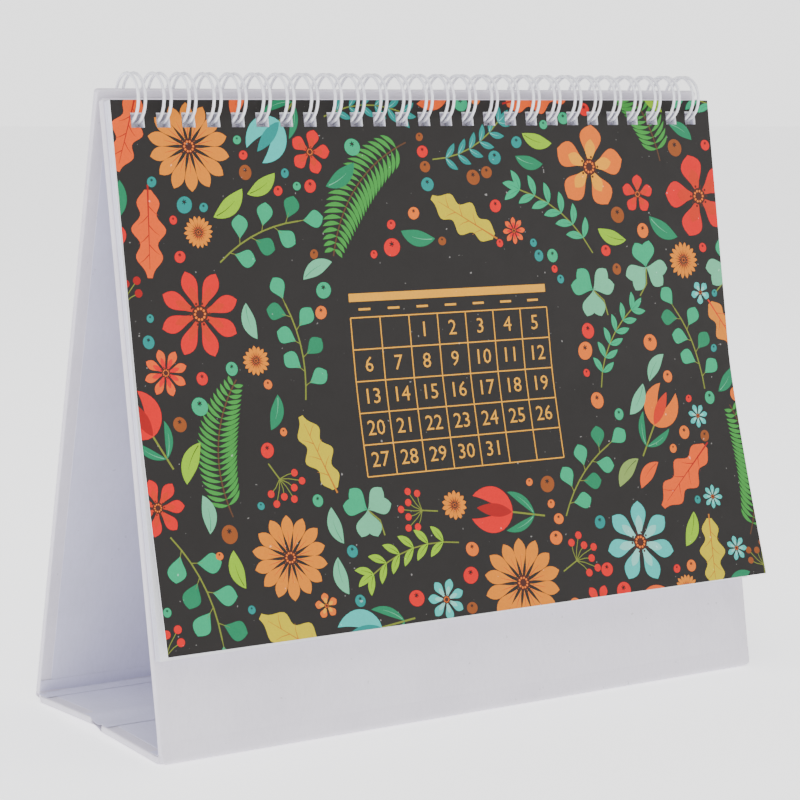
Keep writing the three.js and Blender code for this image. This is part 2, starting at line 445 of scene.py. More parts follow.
BOARDS = [
    ("front", FRONT, "front_panel", FRONT_HOLES),
    ("back", BACK, "back_panel", BACK_HOLES),
    ("base_front", BASE_F, "base_front", []),
    ("base_rear", BASE_R, "base_rear", []),
]
TURN_IN = 0.004           # covering paper folded over onto the inside, as in the CAD
LINING_CORNER, LINING_THICK = 0.0008, 0.00014
LINING_SUNK = 0.00002     # the lining starts this far inside the board, so that no gap shows
for name, plane, body, holes in BOARDS:
    board = slab(f"{name}_board", plane, holes)
    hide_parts(f"{name}_core", f"{name}_wrap")
    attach(board, body)
    x, low, high = plane.x - TURN_IN, plane.s[0] + TURN_IN, plane.s[1] - TURN_IN
    outline = [p for p, _ in rounded_outline(x, low, high, LINING_CORNER, 0)]
    points, tris, _ = flat_mesh(outline, holes)
    face = plane.t[0] + LINING_SUNK
    flat, a, b, w = sheet_solid(points, tris, lambda x, s, d: (x, s, face - d), LINING_THICK)
    sheet = new_object(f"{name}_inner_paper", [plane.place(*q) for q in flat], a + b + w, [LINING])
    face_outward(sheet)
    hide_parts(f"{name}_lining")
    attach(sheet, body)


# ---------------------------------------------------------------- creases

def ribbon(name, path, thick, material, wobble=0.0, seed=1, columns=60, corner=None):
    """A strip of paper run along X whose section follows path, a list of (y, z)."""
    half = FRONT.x - 0.0002
    rng = random.Random(seed)
    path = [Vector(p) for p in path]
    normals = []
    for i, p in enumerate(path):
        d = (path[min(i + 1, len(path) - 1)] - path[max(i - 1, 0)]).normalized()
        normals.append(Vector((-d.y, d.x)))
    waves = [(rng.uniform(0.5, 5), rng.uniform(0, 6.28), rng.uniform(0.3, 1)) for _ in range(5)]
    verts, faces = [], []
    rows = 2 * len(path)
    corner = corner or (lambda p: 0.0)
    for c in range(columns + 1):
        x = -half + 2 * half * c / columns
        ripple = sum(a * math.sin(f * x * 60 + o) for f, o, a in waves) / 3
        ends = max(0.0, abs(x) / half - 0.9) * 10
        for side in (0, 1):
            for i, (p, n) in enumerate(zip(path, normals)):
                middle = math.sin(math.pi * i / (len(path) - 1))
                q = p + n * (side * thick + wobble * middle * (ripple * 0.5 + ends * ripple))
                verts.append((x * (1 - corner(p) / half), q.x, q.y))
    for c in range(columns):
        a, b = c * rows, (c + 1) * rows
        loop = list(range(len(path))) + [rows - 1 - i for i in range(len(path))]
        for i, j in zip(loop, loop[1:] + loop[:1]):
            faces.append((a + i, a + j, b + j, b + i))
    for c in (0, columns):
        for i in range(len(path) - 1):
            quad = [c * rows + i, c * rows + i + 1, c * rows + len(path) + i + 1, c * rows + len(path) + i]
            faces.append(quad)
    obj = new_object(name, verts, faces, [material])
    face_outward(obj, sharp=55)
    return obj


def plug(name, section, inset, material):
    """The paper turned in over the gap between two boards: a section run along X."""
    half = FRONT.x - inset
    n = len(section)
    verts = [(x, y, z) for x in (-half, half) for y, z in section]
    faces = [(i, (i + 1) % n, n + (i + 1) % n, n + i) for i in range(n)]
    for tri in tessellate_polygon([[Vector((y, z, 0)) for y, z in section]]):
        faces += [tuple(tri), tuple(n + i for i in reversed(tri))]
    obj = new_object(name, verts, faces, [material])
    face_outward(obj, sharp=50)
    return obj


def spot(plane, end, face, ds, dt):
    """(y, z) of a place ds along from a board's end (0 low, 1 high), dt off its face (0 in, 1 out)."""
    p = plane.place(0, plane.s[end] + ds, plane.t[face] + dt)
    return p.y, p.z


def bezier(a, b, c, steps=8):
    out = []
    for i in range(steps + 1):
        u = i / steps
        out.append(((1 - u) ** 2 * a[0] + 2 * u * (1 - u) * b[0] + u * u * c[0],
                    (1 - u) ** 2 * a[1] + 2 * u * (1 - u) * b[1] + u * u * c[1]))
    return out


SKIN, LINING_SKIN = 0.00022, 0.00012   # thickness of the papers across a crease
PROUD = 0.00002                        # covering paper stands this far off a board's outside
OFF, OFF_FOLD = 0.0002, 0.0003         # lining paper stands this far off its inside, and next to a fold
UNDER = 0.0002                         # the turned-in paper lies this far under a board's outside
RUN_ON, LAP = 0.004, 0.0055            # how far papers reach onto a board, past a crease


def creases():
    """Covering, turned-in and lining papers of the three creases, each bending between two boards."""
    # outside of the front crease, from the front board round under the base
    top = spot(FRONT, 0, 1, RUN_ON, PROUD)
    near = spot(FRONT, 0, 1, -0.0006, PROUD)
    knee = spot(FRONT, 0, 1, -0.0030, PROUD)
    under = (BASE_F.s[0] - 0.0001, 0.00005)
    path = [top] + bezier(near, (knee[0], PROUD), under)
    front = ribbon("front_crease_paper", path, SKIN, WRAP, 0.0, 3,
                   corner=lambda p: 0.0020 * max(0.0, 1 - p.y / near[1]) ** 2)
    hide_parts("crease_front")
    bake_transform(front)
    # outside of the rear crease
    top = spot(BACK, 0, 1, RUN_ON, PROUD)
    near = spot(BACK, 0, 1, -0.0004, PROUD)
    knee = spot(BACK, 0, 1, -0.0030, 0)
    under = spot(BASE_R, 1, 1, 0.0001, -0.00005)
    path = [under] + bezier(under, (knee[0] + 0.0004, 0.0001), near)[1:] + [top]
    rear = ribbon("rear_crease_paper", path, SKIN, WRAP, 0.0, 5,
                  corner=lambda p: 0.0024 * max(0.0, 1 - p.y / near[1]) ** 2)
    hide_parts("crease_rear")
    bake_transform(rear)
    # the strip between the two base boards
    a = spot(BASE_F, 1, 1, 0.0001, -0.0001)
    b = spot(BASE_R, 0, 1, -0.0001, -0.0001)
    middle = ((a[0] + b[0]) / 2, max(a[1], b[1]) + 0.0007)
    strip = ribbon("mid_crease_paper", bezier(a, middle, b, 10), SKIN, WRAP, 0.0002, 7)
    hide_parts("crease_mid")
    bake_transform(strip)
    # lining paper across the inside of each crease
    a = spot(BASE_R, 1, 0, -LAP, -OFF)
    b = spot(BASE_R, 1, 0, -0.0005, -OFF_FOLD)
    d = spot(BACK, 0, 0, 0.0018, -OFF)
    e = spot(BACK, 0, 0, LAP, -OFF)
    knee = (b[0] + 0.0012, b[1] + 0.0006)
    outer = spot(BACK, 0, 1, -0.0004, -UNDER)
    low = spot(BASE_R, 1, 1, -0.0002, -0.0003)
    bend = spot(BACK, 0, 1, -0.0026, -UNDER)
    fill = plug("rear_crease_turn_in", [low] + bezier(low, (bend[0], 0.0004), outer, 5)[1:] + [d, knee, b],
                0.0011, WRAP)
    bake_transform(fill)
    inner = ribbon("rear_crease_lining", [a] + bezier(b, knee, d) + [e], LINING_SKIN, LINING, 0.00025, 11)
    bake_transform(inner)
    a = spot(FRONT, 0, 0, LAP, -OFF)
    b = spot(FRONT, 0, 0, 0.0018, -OFF)
    d = spot(BASE_F, 0, 0, 0.0008, -OFF_FOLD)
    e = spot(BASE_F, 0, 0, LAP, -OFF)
    knee = (b[0] - 0.0002, d[1] + 0.0002)
    outer = spot(FRONT, 0, 1, -0.0004, -0.0001)
    bend = spot(FRONT, 0, 1, -0.0028, -UNDER)
    low = (BASE_F.s[0] + 0.0002, 0.0003)
    fill = plug("front_crease_turn_in", bezier(outer, (bend[0], 0.0003), low, 5) + [d, knee, b],
                0.0006, WRAP)
    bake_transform(fill)
    inner = ribbon("front_crease_lining", [a] + bezier(b, knee, d) + [e], LINING_SKIN, LINING, 0.0002, 13)
    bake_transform(inner)
    a = spot(BASE_F, 1, 0, -RUN_ON, -OFF)
    b = spot(BASE_F, 1, 0, -0.0008, -OFF_FOLD)
    d = spot(BASE_R, 0, 0, 0.0008, -OFF_FOLD)
    e = spot(BASE_R, 0, 0, RUN_ON, -OFF)
    knee = ((b[0] + d[0]) / 2, min(b[1], d[1]) - 0.0016)
    inner = ribbon("mid_crease_lining", [a] + bezier(b, knee, d, 10) + [e], LINING_SKIN, LINING, 0.0002, 17)
    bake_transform(inner)


creases()


# ---------------------------------------------------------------- twin-loop wire

def wire():
    """One strand that runs along the holes, with a flattened pair of legs through each."""
    thick = 0.00049                                   # half the strand's thickness
    reach, taper, bend = 0.0012, 0.12, 0.0008         # a loop's half width, narrowing and foot turn
    steps, turn_steps, bend_steps = 26, 8, 5
    low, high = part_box("binding_wire")
    axis_y, axis_z = (low.y + high.y) / 2, (low.z + high.z) / 2
    radius = (high.z - low.z) / 2 - thick
    spans, _ = hole_grid("cover", COVER)
    pitch = spans[1][0] - spans[0][0]
    seam, tip = math.radians(290), math.radians(-52)
    line = []

    def at(x, angle, r=radius):
        return (x, axis_y + r * math.cos(angle), axis_z + r * math.sin(angle))

    for k, (a, b) in enumerate(spans):
        x = (a + b) / 2
        wide = reach * (1.0 + 0.03 * math.sin(k * 2.4))
        lean = 0.00012 * math.sin(k * 1.7 + 0.6)
        narrow = wide * (1 - taper)
        for side in (-1, 1):
            for i in range(steps + 1):
                u = i / steps if side < 0 else 1 - i / steps
                line.append(at(x + side * wide * (1 - taper * u) + lean * math.sin(math.pi * u),
                               seam + (tip - seam) * u))
            if side < 0:
                for i in range(1, turn_steps):
                    turned = math.pi * i / turn_steps
                    line.append(at(x - narrow * math.cos(turned), tip - narrow / radius * math.sin(turned)))
        if k + 1 < len(spans):
            gap = pitch - 2 * wide
            for i in range(1, bend_steps + 1):
                turned = math.pi / 2 * i / bend_steps
                line.append(at(x + wide + bend * (1 - math.cos(turned)),
                               seam + bend / radius * math.sin(turned)))
            for i in range(bend_steps):
                turned = math.pi / 2 * i / bend_steps
                line.append(at(x + wide + gap - bend * (1 - math.sin(turned)),
                               seam + bend / radius * math.cos(turned)))
    points = np.array(line)
    tangent = np.gradient(points, axis=0)
    tangent /= np.linalg.norm(tangent, axis=1)[:, None]
    spoke = points - np.array([0, axis_y, axis_z])
    spoke[:, 0] = 0
    spoke -= (spoke * tangent).sum(1)[:, None] * tangent
    spoke /= np.linalg.norm(spoke, axis=1)[:, None]
    side = np.cross(tangent, spoke)
    sides = 10
    verts, faces = [], []
    for p, u, v in zip(points, spoke, side):
        for k in range(sides):
            a = 2 * math.pi * k / sides
            verts.append(p + thick * (u * math.cos(a) + v * math.sin(a)))
    for i in range(len(points) - 1):
        for k in range(sides):
            j = (k + 1) % sides
            faces.append((i * sides + k, i * sides + j, (i + 1) * sides + j, (i + 1) * sides + k))
    faces.append(tuple(range(sides))[::-1])
    last = (len(points) - 1) * sides
    faces.append(tuple(range(last, last + sides)))
    obj = new_object("twin_loop_wire", verts, faces, [WIRE], sharp=60)
    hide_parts("binding_wire")
    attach(obj, "front_panel")


wire()


# ---------------------------------------------------------------- printed artwork
# Page places are in millimetres, x from the left edge and y down from the top edge.
# Flowers, leaves and berries are drawn by the functions below and placed by a seeded rule.

PAGE_W = COVER.x * 2 / MM
PAGE_H = (COVER.s[1] - COVER.s[0]) / MM


def srgb(r, g, b):
    """An ink's colour, a little deeper and more saturated than it looks under white light."""
    c = [(v / 255) ** 2.2 for v in (r, g, b)]
    grey = 0.3 * c[0] + 0.6 * c[1] + 0.1 * c[2]
    return tuple(max(0.004, (grey + (v - grey) * 1.4) * 0.86) for v in c)


CHARCOAL = (0.0165, 0.0145, 0.0135)
TEAL, TEAL_PALE, TEAL_DARK = srgb(104, 184, 176), srgb(150, 205, 195), srgb(60, 130, 125)
GREEN, GREEN_DARK, SAGE = srgb(80, 160, 122), srgb(62, 122, 92), srgb(124, 182, 150)
OLIVE, OLIVE_DARK, LIME = srgb(138, 158, 106), srgb(52, 62, 40), srgb(150, 186, 86)
FERN, STEM = srgb(84, 142, 84), srgb(120, 128, 78)
ORANGE, ORANGE_DEEP, RED = srgb(216, 126, 62), srgb(190, 80, 52), srgb(204, 74, 66)
CORAL, AMBER, AMBER_LIGHT = srgb(218, 112, 84), srgb(212, 140, 34), srgb(228, 166, 70)
YELLOW, YELLOW_DARK, GOLD = srgb(200, 184, 72), srgb(176, 120, 50), srgb(222, 170, 108)
BROWN, BROWN_DARK, MAROON = srgb(134, 84, 62), srgb(84, 62, 50), srgb(150, 46, 52)
SEED, BLACK = srgb(70, 44, 40), srgb(40, 34, 34)
ART = []


def ink(points, color):
    ART.append((points, color))


def turn(points, angle, cx, cy):
    c, s = math.cos(angle), math.sin(angle)
    return [(cx + x * c - y * s, cy + x * s + y * c) for x, y in points]


def beside(points, i, w):
    """The two places w away from a line's point i, to its left and to its right."""
    (x, y), (ax, ay) = points[i], points[max(i - 1, 0)]
    bx, by = points[min(i + 1, len(points) - 1)]
    d = math.hypot(bx - ax, by - ay) or 1
    return (x - (by - ay) / d * w, y + (bx - ax) / d * w), (x + (by - ay) / d * w, y - (bx - ax) / d * w)


def stroke(points, width, color, taper=False):
    """A drawn line through points, of that width, thinning to its end if it tapers."""
    last = len(points) - 1
    pairs = [beside(points, i, width / 2 * ((1 - 0.8 * i / last) if taper else 1)) for i in range(last + 1)]
    ink([left for left, _ in pairs] + [right for _, right in pairs[::-1]], color)


def arc(x0, y0, x1, y1, bow, steps=10):
    """Points from one place to another that bow to one side by a share of the distance."""
    mx, my = (x0 + x1) / 2 - (y1 - y0) * bow, (y0 + y1) / 2 + (x1 - x0) * bow
    return bezier((x0, y0), (2 * mx - (x0 + x1) / 2, 2 * my - (y0 + y1) / 2), (x1, y1), steps)


def oval(cx, cy, rx, ry, color, angle=0.0, steps=20):
    ring = [(rx * math.cos(2 * math.pi * i / steps), ry * math.sin(2 * math.pi * i / steps))
            for i in range(steps)]
    ink(turn(ring, angle, cx, cy), color)


def blade(x0, y0, x1, y1, width, color, vein=None, bow=0.06, blunt=1.0, steps=12):
    """A leaf or petal from its stem end to its tip. blunt above 1 makes the tip rounder."""
    spine = arc(x0, y0, x1, y1, bow, steps)
    left, right = [], []
    for i in range(steps + 1):
        w = width / 2 * math.sin(math.pi * (i / steps) ** blunt) ** 0.85 if 0 < i < steps else 0
        one, other = beside(spine, i, w)
        left.append(one)
        right.append(other)
    ink(left[:-1] + [spine[-1]] + right[1:-1][::-1], color)
    if vein:
        stroke(spine[1:max(4, int(steps * 0.8))], max(0.22, width * 0.05), vein, True)


def along(x, y, angle, far, off=0.0):
    """The place so far along a direction from (x, y), and off to its side."""
    c, s = math.cos(angle), math.sin(angle)
    return x + far * c - off * s, y + far * s + off * c


def lobed_leaf(x, y, angle, size, pick):
    """A leaf with wavy edges and a vein to each wave."""
    x0, y0 = along(x, y, angle, -size / 2)
    color, vein = pick.choice(((AMBER, ORANGE_DEEP), (YELLOW, YELLOW_DARK), (CORAL, MAROON)))
    lobes, width, steps = 3, size * 0.44, 27
    ux, uy = math.cos(angle), math.sin(angle)
    left, right = [], []
    for i in range(steps + 1):
        u = i / steps
        w = width / 2 * math.sin(math.pi * (0.06 + 0.9 * u)) ** 0.7
        w *= 0.76 + 0.24 * math.cos(2 * math.pi * lobes * (u - 0.12))
        cx, cy = x0 + ux * size * u, y0 + uy * size * u
        left.append((cx - uy * w, cy + ux * w))
        right.append((cx + uy * w, cy - ux * w))
    ink(left + right[::-1], color)
    stroke([along(x, y, angle, size * q) for q in (-0.56, -0.3, 0, 0.4)], 0.6, vein, True)
    for k in range(6):
        q, side = -0.32 + 0.11 * k, 1 if k % 2 else -1
        stroke([along(x, y, angle, size * q), along(x, y, angle, size * (q + 0.07), side * width * 0.16),
                along(x, y, angle, size * (q + 0.11), side * width * 0.3)], 0.3, vein, True)


def frond(x, y, angle, size, pick):
    """A bowed midrib with narrow leaflets that shorten to its tip."""
    bow = pick.choice((-0.13, 0.13))
    (x0, y0), (x1, y1) = along(x, y, angle, -size / 2), along(x, y, angle, size / 2)
    spine = arc(x0, y0, x1, y1, bow, 24)
    stroke(spine, 0.5, BROWN_DARK)
    for i in range(2, 24):
        (px, py), (qx, qy) = spine[i - 1], spine[i]
        a = math.atan2(qy - py, qx - px)
        length = size * 0.19 * math.sin(math.pi * (0.2 + 0.72 * i / 24)) ** 0.8
        for side in (-1, 1):
            ex, ey = along(qx, qy, a + side * 1.05, length)
            blade(qx, qy, ex, ey, size * 0.03, FERN, None, 0.1 * side, steps=6)


def paired_sprig(x, y, angle, size, pick):
    """A stem with pointed leaves in pairs and one at its tip."""
    color, vein = pick.choice(((LIME, OLIVE_DARK), (TEAL_DARK, TEAL_PALE), (GREEN, GREEN_DARK)))
    bow = pick.choice((-0.1, 0.1))
    (x0, y0), (x1, y1) = along(x, y, angle, -size / 2), along(x, y, angle, size * 0.34)
    spine = arc(x0, y0, x1, y1, bow, 6)
    stroke(spine, 0.45, STEM)
    for i in range(1, 7):
        (px, py), (qx, qy) = spine[i - 1], spine[i]
        a = math.atan2(qy - py, qx - px)
        for side in (-0.8, 0.8) if i < 6 else (0.0, -0.8, 0.8):
            ex, ey = along(qx, qy, a + side, size * 0.17)
            blade(qx, qy, ex, ey, size * 0.062, color, vein, 0.06)


def round_sprig(x, y, angle, size, pick):
    """A stem with rounded leaves on short stalks, first on one side and then on the other."""
    (x0, y0), (x1, y1) = along(x, y, angle, -size / 2), along(x, y, angle, size * 0.28)
    spine = arc(x0, y0, x1, y1, pick.choice((-0.08, 0.08)), 7)
    stroke(spine, 0.5, STEM)
    for i in range(1, 8):
        (px, py), (qx, qy) = spine[i - 1], spine[i]
        a = math.atan2(qy - py, qx - px) + (0 if i == 7 else 0.95 * (1 if i % 2 else -1))
        mx, my = along(qx, qy, a, size * 0.04)
        ex, ey = along(qx, qy, a, size * 0.23)
        blade(mx, my, ex, ey, size * 0.14, GREEN if i % 3 else GREEN_DARK, None, 0.03, 1.5)
        stroke([(qx, qy), (mx, my), along(qx, qy, a, size * 0.09)], 0.35, STEM, True)


def tulip(x, y, angle, size, pick):
    """A cup of three petals on a stem with a leaf to each side."""
    color, inner = pick.choice(((RED, MAROON), (ORANGE, ORANGE_DEEP), (TEAL, TEAL_DARK)))
    foot, cup = along(x, y, angle, -size / 2), along(x, y, angle, size * 0.02)
    stroke([foot, along(x, y, angle, -size * 0.2), cup], 0.6, STEM)
    for side in (-1, 1):
        blade(*along(x, y, angle, -size * 0.36), *along(x, y, angle, size * 0.02, side * size * 0.22),
              size * 0.1, GREEN_DARK, SAGE, 0.1 * side)
    for side in (-1, 1):
        blade(*along(x, y, angle, -size * 0.06), *along(x, y, angle, size * 0.48, side * size * 0.13),
              size * 0.2, color, None, 0.18 * side, 0.9)
    blade(*along(x, y, angle, -size * 0.05), *along(x, y, angle, size * 0.42), size * 0.15,
          inner, None, 0.0, 0.9)


def clover(x, y, angle, size, pick):
    """Three heart-shaped leaflets on a stalk."""
    stroke([(x, y), along(x, y, angle + 3.3, size * 0.3), along(x, y, angle + 3.6, size * 0.55)], 0.5, STEM)
    for k in (-2.09, 0, 2.09):
        for side in (-0.34, 0.34):
            ex, ey = along(x, y, angle + k + side, size * 0.5)
            blade(x, y, ex, ey, size * 0.3, SAGE if k else GREEN, None, 0.0, 1.7)


def open_flower(x, y, angle, size, pick):
    """Rounded petals in two tones about a seeded middle."""
    tones = pick.choice(((RED, ORANGE_DEEP), (ORANGE, AMBER_LIGHT), (TEAL, TEAL_PALE), (CORAL, RED)))
    petals = pick.choice((5, 7, 8))
    for i in range(petals):
        a = angle + 2 * math.pi * i / petals
        ex, ey = along(x, y, a, size * 0.5)
        blade(x, y, ex, ey, size * 1.55 / petals, tones[0], None, 0.0, 2.0)
        ex, ey = along(x, y, a, size * 0.33)
        blade(x, y, ex, ey, size * 0.75 / petals, tones[1], None, 0.0, 1.7)
    middle(x, y, size * 0.1, SEED)


def daisy(x, y, angle, size, pick):
    """Many narrow petals about a dark middle."""
    petals = pick.choice((14, 16, 18))
    color = pick.choice((AMBER, YELLOW, AMBER))
    for i in range(petals):
        a = angle + 2 * math.pi * i / petals
        ex, ey = along(x, y, a, size * 0.5 * pick.uniform(0.92, 1.0))
        blade(*along(x, y, a, size * 0.06), ex, ey, size * 2.1 / petals, color, None, 0.0, 1.9)
        stroke([along(x, y, a, size * q) for q in (0.12, 0.2, 0.29)], 0.12 + size * 0.006, ORANGE_DEEP, True)
    middle(x, y, size * 0.085, SEED)


def middle(x, y, r, color):
    oval(x, y, r, r, color, steps=14)
    for i in range(10):
        a = 2 * math.pi * i / 10
        oval(*along(x, y, a, r * 0.62), r * 0.16, r * 0.16, ORANGE, steps=6)
        oval(*along(x, y, a, r * 1.2), r * 0.16, r * 0.16, color, steps=6)


def plain_leaf(x, y, angle, size, pick):
    color, vein = pick.choice(((OLIVE, OLIVE_DARK), (GREEN_DARK, SAGE), (SAGE, GREEN_DARK),
                               (CORAL, MAROON), (LIME, OLIVE_DARK)))
    (x0, y0), (x1, y1) = along(x, y, angle, -size / 2), along(x, y, angle, size / 2)
    blade(x0, y0, x1, y1, size * 0.4, color, vein, pick.choice((-0.09, 0.09)))


def berry_bunch(x, y, angle, size, pick):
    """Berries on thin stalks that spread from one stem."""
    color = pick.choice((RED, BROWN, MAROON))
    foot = along(x, y, angle, -size * 0.5)
    fork = along(x, y, angle, -size * 0.12)
    stroke([foot, along(x, y, angle, -size * 0.3), fork], 0.45, STEM)
    for k in range(7):
        a = angle + (k - 3) * 0.42
        end = along(*fork, a, size * (0.5 if k % 2 else 0.36))
        stroke([fork, along(*fork, a - 0.1, size * 0.2), end], 0.28, STEM)
        oval(*end, size * 0.075, size * 0.075, color, steps=12)


def berry(x, y, angle, size, pick):
    """One berry with a small dry star on it."""
    color = pick.choice((RED, RED, GREEN, BROWN, ORANGE, TEAL_DARK))
    r = size / 2
    oval(x, y, r * 1.04, r * 0.96, color, angle, 18)
    for k in (0.4, 1.45, 2.5):
        stroke([along(x, y - r * 0.35, k, -r * 0.3), (x, y - r * 0.35), along(x, y - r * 0.35, k, r * 0.3)],
               r * 0.12, BLACK)


# what is drawn, the largest first: motif, how many are tried for, size range in millimetres, and
# its width as a share of its size
PLAN = (
    (open_flower, 4, (27, 33), 1.0), (daisy, 3, (25, 31), 1.0), (frond, 4, (40, 48), 0.36),
    (round_sprig, 5, (38, 46), 0.42), (paired_sprig, 6, (34, 42), 0.36), (lobed_leaf, 9, (24, 30), 0.44),
    (tulip, 5, (25, 29), 0.46), (clover, 4, (17, 20), 0.95), (open_flower, 6, (13, 18), 1.0),
    (berry_bunch, 6, (15, 18), 0.7), (daisy, 5, (9, 13), 1.0), (plain_leaf, 30, (11, 14), 0.4),
    (open_flower, 6, (8, 9), 1.0), (berry, 70, (3.6, 6.4), 1.0), (berry, 40, (2.4, 3.2), 1.0),
)


OPEN_HALF_W, OPEN_HALF_H = 49, 38        # the middle of the page that stays clear, in millimetres
OVERHANG = 3                             # how far outside the page a motif's middle may lie


def scatter():
    """Fills the page round its open middle, by trial, with a gap between one motif and the next."""
    pick = random.Random(31)
    taken = []
    cx, cy = PAGE_W / 2, PAGE_H / 2 + 4
    for draw, count, (small, large), share in PLAN:
        done = 0
        for _ in range(500 + 60 * count):
            if done == count:
                break
            size = pick.uniform(small, large)
            x = pick.uniform(-OVERHANG, PAGE_W + OVERHANG)
            y = pick.uniform(-OVERHANG, PAGE_H + OVERHANG)
            around = math.atan2(y - cy, x - cx) + math.pi / 2
            angle = around + pick.uniform(-0.7, 0.7) + pick.choice((0, math.pi))
            r = size * share / 2
            span = max(0.0, size / 2 - r)
            dots = [along(x, y, angle, span * k / 3) for k in range(-3, 4)] if span > 0.5 else [(x, y)]
            if any(abs((px - cx) / (OPEN_HALF_W + r)) ** 3 + abs((py - cy) / (OPEN_HALF_H + r)) ** 3 < 1
                   for px, py in dots):
                continue
            gap = 0.5 if size > 7 else 0.9
            if any(math.hypot(px - qx, py - qy) < r + qr + gap for px, py in dots for qx, qy, qr in taken):
                continue
            draw(x, y, angle, size, pick)
            taken += [(px, py, r) for px, py in dots]
            done += 1


# ---------------------------------------------------------------- numerals

GLYPHS = {}


def glyph(text, size):
    """Flat points and faces of a numeral, centred, size tall in millimetres."""
    if text not in GLYPHS:
        curve = bpy.data.curves.new("numeral", "FONT")
        curve.body = text
        curve.align_x = "CENTER"
        curve.align_y = "CENTER"
        curve.size = 1.0
        curve.resolution_u = 2
        holder = bpy.data.objects.new("numeral", curve)
        bpy.context.scene.collection.objects.link(holder)
        bpy.context.view_layer.update()
        mesh = bpy.data.meshes.new_from_object(holder)
        GLYPHS[text] = ([(v.co.x, v.co.y) for v in mesh.vertices],
                        [tuple(p.vertices) for p in mesh.polygons])
        bpy.data.objects.remove(holder)
        bpy.data.curves.remove(curve)
        bpy.data.meshes.remove(mesh)
    points, faces = GLYPHS[text]
    return [(x * size, y * size) for x, y in points], faces


def loops(faces):
    """The closed outlines of a flat piece, each in the direction of its faces."""
    after = dict(borders(faces))
    out = []
    while after:
        start = next(iter(after))
        ring, at = [start], after.pop(start)
        while at != start:
            ring.append(at)
            at = after.pop(at)
        out.append(ring)
    return out


def number(layers, text, x, y, size, color, ground):
    """Prints a numeral: its outlines in ink, then its counters in the ground colour."""
    points, faces = glyph(text, size)
    rings = [[points[i] for i in ring] for ring in loops(faces)]
    rings.sort(key=lambda r: -abs(area2(r)))
    sign = area2(rings[0])
    for ring in sorted(rings, key=lambda r: area2(r) * sign < 0):
        tone = color if area2(ring) * sign > 0 else ground
        layers.append(([(x + px, y - py) for px, py in ring], tone))


def bar(layers, x0, y0, x1, y1, color):
    layers.append(([(x0, y0), (x1, y0), (x1, y1), (x0, y1)], color))


def month_grid(layers, x0, y0, x1, y1, first, days, size, color, line, ground, rule=0.25):
    """A ruled month: seven columns, weeks down, plain numerals."""
    rows = math.ceil((first + days) / 7)
    cw, rh = (x1 - x0) / 7, (y1 - y0) / rows
    for r in range(rows + 1):
        bar(layers, x0, y0 + r * rh - rule / 2, x1, y0 + r * rh + rule / 2, line)
    for c in range(8):
        bar(layers, x0 + c * cw - rule / 2, y0, x0 + c * cw + rule / 2, y1, line)
    for d in range(days):
        r, c = divmod(first + d, 7)
        number(layers, str(d + 1), x0 + (c + 0.5) * cw, y0 + (r + 0.5) * rh, size, color, ground)


# ---------------------------------------------------------------- sheets

def curl(t0, left, right, start, power, squeeze=0.0, wave=0.0, phase=0.0, short=(0.0, 0.0),
         astray=(0.0, 0.0)):
    """A sheet's shape: places page millimetres at a height t above the sheet's back face."""
    run = PAGE_H - start

    def lift(x, y):
        side = left + (right - left) * x / PAGE_W
        u = max(0.0, (y - start) / run)
        down = max(0.0, (y - 12) / (PAGE_H - 12))
        ripple = wave * math.sin(x / PAGE_W * 5.1 + phase) * u
        return side * u ** power + ripple - squeeze * min(1.0, down * 2.2)

    def place(x, y, t):
        up = lift(x, y)
        slope = (lift(x, y + 0.5) - lift(x, y - 0.5)) if y > 1 else 0.0
        lean = (lift(x + 0.5, y) - lift(x - 0.5, y))
        side = left + (right - left) * x / PAGE_W
        u = max(0.0, (y - start) / run)
        drop = side ** 2 / run * power ** 2 / (2 * (2 * power - 1)) * u ** (2 * power - 1)
        drop += (short[0] + (short[1] - short[0]) * x / PAGE_W) * (max(0.0, y) / PAGE_H) ** 1.5
        k = 1 / math.sqrt(1 + slope ** 2 + lean ** 2)
        s = COVER.s[1] - (y - drop + astray[1]) * MM
        flat = COVER.at((x + astray[0] - PAGE_W / 2) * MM, s, t0 + up * MM)
        normal = (COVER.out + COVER.up * slope - Vector((1, 0, 0)) * lean) * k
        return flat + normal * t
    return place


def page_outline():
    return [(0, 0), (PAGE_W, 0), (PAGE_W, PAGE_H), (0, PAGE_H)]


def page_holes():
    spans, (low, high) = hole_grid("cover", COVER)
    top, bottom = (COVER.s[1] - high) / MM, (COVER.s[1] - low) / MM
    return [[(a / MM + PAGE_W / 2, top), (b / MM + PAGE_W / 2, top), (b / MM + PAGE_W / 2, bottom),
             (a / MM + PAGE_W / 2, bottom)] for a, b in spans]


HOLES = page_holes()


def printed_sheet(name, node, body, place, thick, layers, ground, rows, columns, materials):
    points, tris, inks = flat_mesh(page_outline(), HOLES, layers, rows, columns)
    tris = [t[::-1] for t in tris]          # page y runs down, so the front face is turned
    verts, front, back, walls = sheet_solid(points, tris, place, thick)
    walls = [w[::-1] for w in walls]
    colors = [c or ground for c in inks]
    faces = front + back + walls
    slots = [0] * len(front) + [1] * (len(back) + len(walls))
    white = (0.9, 0.9, 0.9)
    colors += [white] * (len(back) + len(walls))
    obj = new_object(name, verts, faces, materials, slots, colors)
    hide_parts(node)
    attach(obj, body)
    return obj


